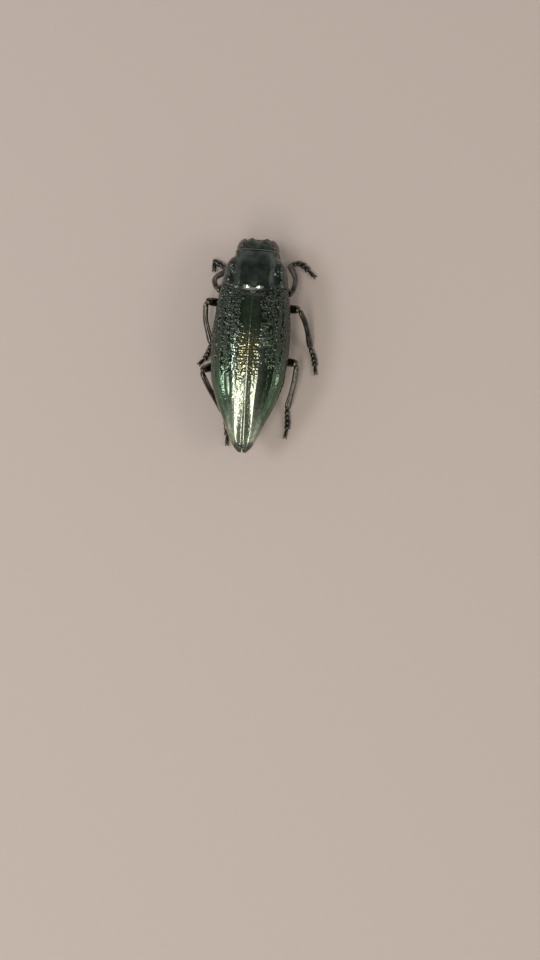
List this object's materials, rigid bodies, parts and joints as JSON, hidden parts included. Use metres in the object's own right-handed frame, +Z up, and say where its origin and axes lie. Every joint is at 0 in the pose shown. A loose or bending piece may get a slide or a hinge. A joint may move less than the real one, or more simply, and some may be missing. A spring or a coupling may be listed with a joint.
{
  "type": "jewel beetle",
  "caption": "Still, life-size jewel beetle standing on its feet, with ribbed metallic wing cases, a tapering prothorax and bronze legs.",
  "frame": {"origin": "on the floor, under the middle of the whole model's box", "axes": "+Y towards the head, +X to the beetle's right, +Z up"},
  "size_m": [0.0182, 0.0312, 0.0085],
  "materials": {
    "wing_case": "glossy metallic green with brassy and silvery ribs, finely pitted",
    "dark_shell": "satin dark green-black, finely pitted",
    "underside": "glossy brassy green",
    "leg": "glossy dark bronze",
    "horn": "glossy brown-black horn",
    "eye": "glossy dark brown, finely faceted"
  },
  "bodies": {
    "root": {"head": "dark_shell", "labrum": "horn", "mandible_left": "horn", "mandible_right": "horn", "mouthparts": "horn", "eye_left": "eye", "eye_right": "eye", "antenna_left": "horn", "antenna_right": "horn", "pronotum": "dark_shell", "prosternum": "underside", "scutellum": "wing_case", "elytron_left": "wing_case", "elytron_right": "wing_case", "mesosternum": "underside", "metasternum": "underside", "abdomen_1": "underside", "abdomen_2": "underside", "abdomen_3": "underside", "abdomen_4": "underside", "abdomen_5": "underside", "coxa_front_left": "underside", "coxa_front_right": "underside", "coxa_middle_left": "underside", "coxa_middle_right": "underside", "coxa_hind_left": "underside", "coxa_hind_right": "underside", "femur_front_left": "leg", "femur_front_right": "leg", "femur_middle_left": "leg", "femur_middle_right": "leg", "femur_hind_left": "leg", "femur_hind_right": "leg", "tibia_front_left": "leg", "tibia_front_right": "leg", "tibia_middle_left": "leg", "tibia_middle_right": "leg", "tibia_hind_left": "leg", "tibia_hind_right": "leg", "tarsus_front_left": "leg", "tarsus_front_right": "leg", "tarsus_middle_left": "leg", "tarsus_middle_right": "leg", "tarsus_hind_left": "leg", "tarsus_hind_right": "leg"}
  },
  "joints": []
}
